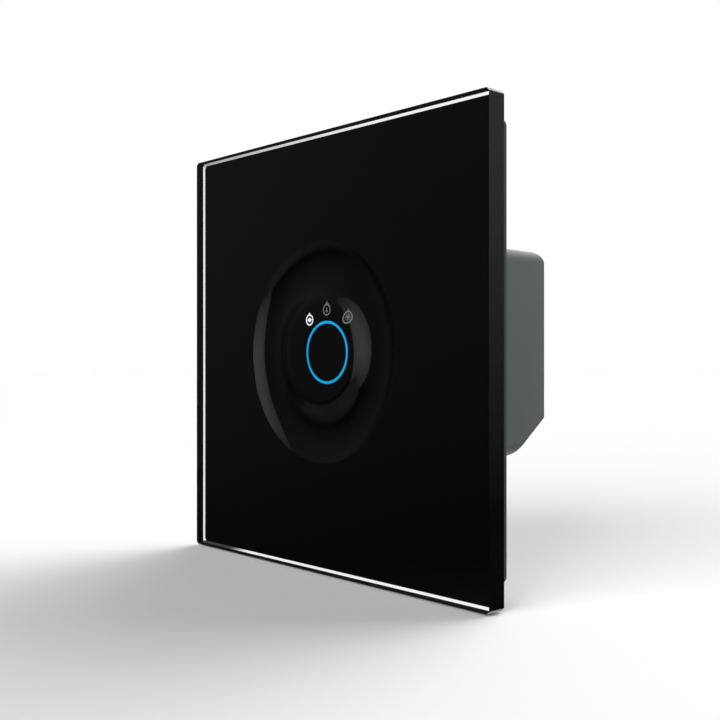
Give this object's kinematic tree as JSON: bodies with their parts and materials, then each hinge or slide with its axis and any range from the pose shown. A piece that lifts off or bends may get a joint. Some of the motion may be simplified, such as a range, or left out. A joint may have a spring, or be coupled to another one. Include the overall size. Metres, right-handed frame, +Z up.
{
  "type": "rgb led strip controller",
  "caption": "Square glass touch panel for a colour LED strip: round touch trough, lit ring and signs, pull-off panel, steel wall plate and a rear housing with screw terminals.",
  "frame": {"origin": "centre of the mounting plate's rear face, on the wall plane", "axes": "+X right, +Y into the wall, +Z up; the glass faces -Y"},
  "size_m": [0.08, 0.04, 0.08],
  "materials": {
    "clear_glass": "polished",
    "black_film": "gloss",
    "blue_window": "lit",
    "lit_window": "lit",
    "dim_window": "satin",
    "adhesive_foam": "matte",
    "dark_carrier": "satin",
    "white_block": "matte",
    "clear_guide": "polished",
    "board_green": "satin",
    "copper_pads": "satin",
    "lamp_white": "gloss",
    "chip_black": "matte",
    "ceramic_parts": "satin",
    "black_moulding": "matte",
    "plated_pins": "bright",
    "zinc_plate": "satin",
    "grey_housing": "fine texture",
    "zinc_screws": "bright",
    "terminal_green": "satin",
    "tinned_bars": "bright",
    "can_aluminium": "satin",
    "sleeve_black": "gloss",
    "ferrite": "matte",
    "ceramic_white": "satin",
    "nickel_cages": "bright"
  },
  "bodies": {
    "base": {"mounting_plate": "zinc_plate", "rear_housing": "grey_housing", "front_cover": "grey_housing", "housing_screws": "zinc_screws", "power_board": "board_green", "board_screws": "zinc_screws", "header_socket": "black_moulding", "terminal_block_1": "terminal_green", "terminal_block_2": "terminal_green", "terminal_block_3": "terminal_green", "terminal_bars": "tinned_bars", "power_transistors": "chip_black", "transistor_tabs": "tinned_bars", "input_capacitor": "can_aluminium", "capacitor_sleeve": "sleeve_black", "storage_coil": "ferrite", "regulator_chip": "chip_black", "driver_chip": "chip_black", "input_fuse": "ceramic_white", "reverse_diode": "chip_black", "power_board_passives": "ceramic_parts"},
    "panel": {"glass_panel": "clear_glass", "mask_film": "black_film", "ring_window": "blue_window", "sign_window_left": "lit_window", "sign_window_top": "dim_window", "sign_window_right": "dim_window", "panel_tape": "adhesive_foam", "panel_frame": "dark_carrier", "light_block": "white_block", "ring_light_guide": "clear_guide", "sign_light_guides": "clear_guide", "touch_board": "board_green", "touch_pads": "copper_pads", "ring_leds": "lamp_white", "sign_leds": "lamp_white", "touch_chip": "chip_black", "touch_board_passives": "ceramic_parts", "header_base": "black_moulding", "header_pins": "plated_pins"},
    "clamp_screw_1": {"terminal_screw_1": "zinc_screws"},
    "clamp_cage_1": {"terminal_cage_1": "nickel_cages"},
    "clamp_screw_2": {"terminal_screw_2": "zinc_screws"},
    "clamp_cage_2": {"terminal_cage_2": "nickel_cages"},
    "clamp_screw_3": {"terminal_screw_3": "zinc_screws"},
    "clamp_cage_3": {"terminal_cage_3": "nickel_cages"},
    "clamp_screw_4": {"terminal_screw_4": "zinc_screws"},
    "clamp_cage_4": {"terminal_cage_4": "nickel_cages"},
    "clamp_screw_5": {"terminal_screw_5": "zinc_screws"},
    "clamp_cage_5": {"terminal_cage_5": "nickel_cages"},
    "clamp_screw_6": {"terminal_screw_6": "zinc_screws"},
    "clamp_cage_6": {"terminal_cage_6": "nickel_cages"}
  },
  "joints": [
    {"name": "panel_pull", "type": "slide", "parent": "base", "child": "panel", "axis": [0, -1, 0], "range_m": [0, 0.025]},
    {"name": "clamp_turn_1", "type": "hinge", "parent": "base", "child": "clamp_screw_1", "pos_m": [-0.0127, 0.0236, -0.012], "axis": [0, -1, 0], "range_deg": [0, 1920.1]},
    {"name": "cage_climb_1", "type": "slide", "parent": "base", "child": "clamp_cage_1", "axis": [0, 1, 0], "range_m": [0, 0.0024]},
    {"name": "clamp_turn_2", "type": "hinge", "parent": "base", "child": "clamp_screw_2", "pos_m": [-0.00762, 0.0236, -0.012], "axis": [0, -1, 0], "range_deg": [0, 1920.1]},
    {"name": "cage_climb_2", "type": "slide", "parent": "base", "child": "clamp_cage_2", "axis": [0, 1, 0], "range_m": [0, 0.0024]},
    {"name": "clamp_turn_3", "type": "hinge", "parent": "base", "child": "clamp_screw_3", "pos_m": [-0.00254, 0.0236, -0.012], "axis": [0, -1, 0], "range_deg": [0, 1920.1]},
    {"name": "cage_climb_3", "type": "slide", "parent": "base", "child": "clamp_cage_3", "axis": [0, 1, 0], "range_m": [0, 0.0024]},
    {"name": "clamp_turn_4", "type": "hinge", "parent": "base", "child": "clamp_screw_4", "pos_m": [0.00254, 0.0236, -0.012], "axis": [0, -1, 0], "range_deg": [0, 1920.1]},
    {"name": "cage_climb_4", "type": "slide", "parent": "base", "child": "clamp_cage_4", "axis": [0, 1, 0], "range_m": [0, 0.0024]},
    {"name": "clamp_turn_5", "type": "hinge", "parent": "base", "child": "clamp_screw_5", "pos_m": [0.00762, 0.0236, -0.012], "axis": [0, -1, 0], "range_deg": [0, 1920.1]},
    {"name": "cage_climb_5", "type": "slide", "parent": "base", "child": "clamp_cage_5", "axis": [0, 1, 0], "range_m": [0, 0.0024]},
    {"name": "clamp_turn_6", "type": "hinge", "parent": "base", "child": "clamp_screw_6", "pos_m": [0.0127, 0.0236, -0.012], "axis": [0, -1, 0], "range_deg": [0, 1920.1]},
    {"name": "cage_climb_6", "type": "slide", "parent": "base", "child": "clamp_cage_6", "axis": [0, 1, 0], "range_m": [0, 0.0024]}
  ],
  "couplings": [
    {"joint": "clamp_turn_1", "follows": "cage_climb_1", "rad_per_m": 13963},
    {"joint": "clamp_turn_2", "follows": "cage_climb_2", "rad_per_m": 13963},
    {"joint": "clamp_turn_3", "follows": "cage_climb_3", "rad_per_m": 13963},
    {"joint": "clamp_turn_4", "follows": "cage_climb_4", "rad_per_m": 13963},
    {"joint": "clamp_turn_5", "follows": "cage_climb_5", "rad_per_m": 13963},
    {"joint": "clamp_turn_6", "follows": "cage_climb_6", "rad_per_m": 13963}
  ]
}
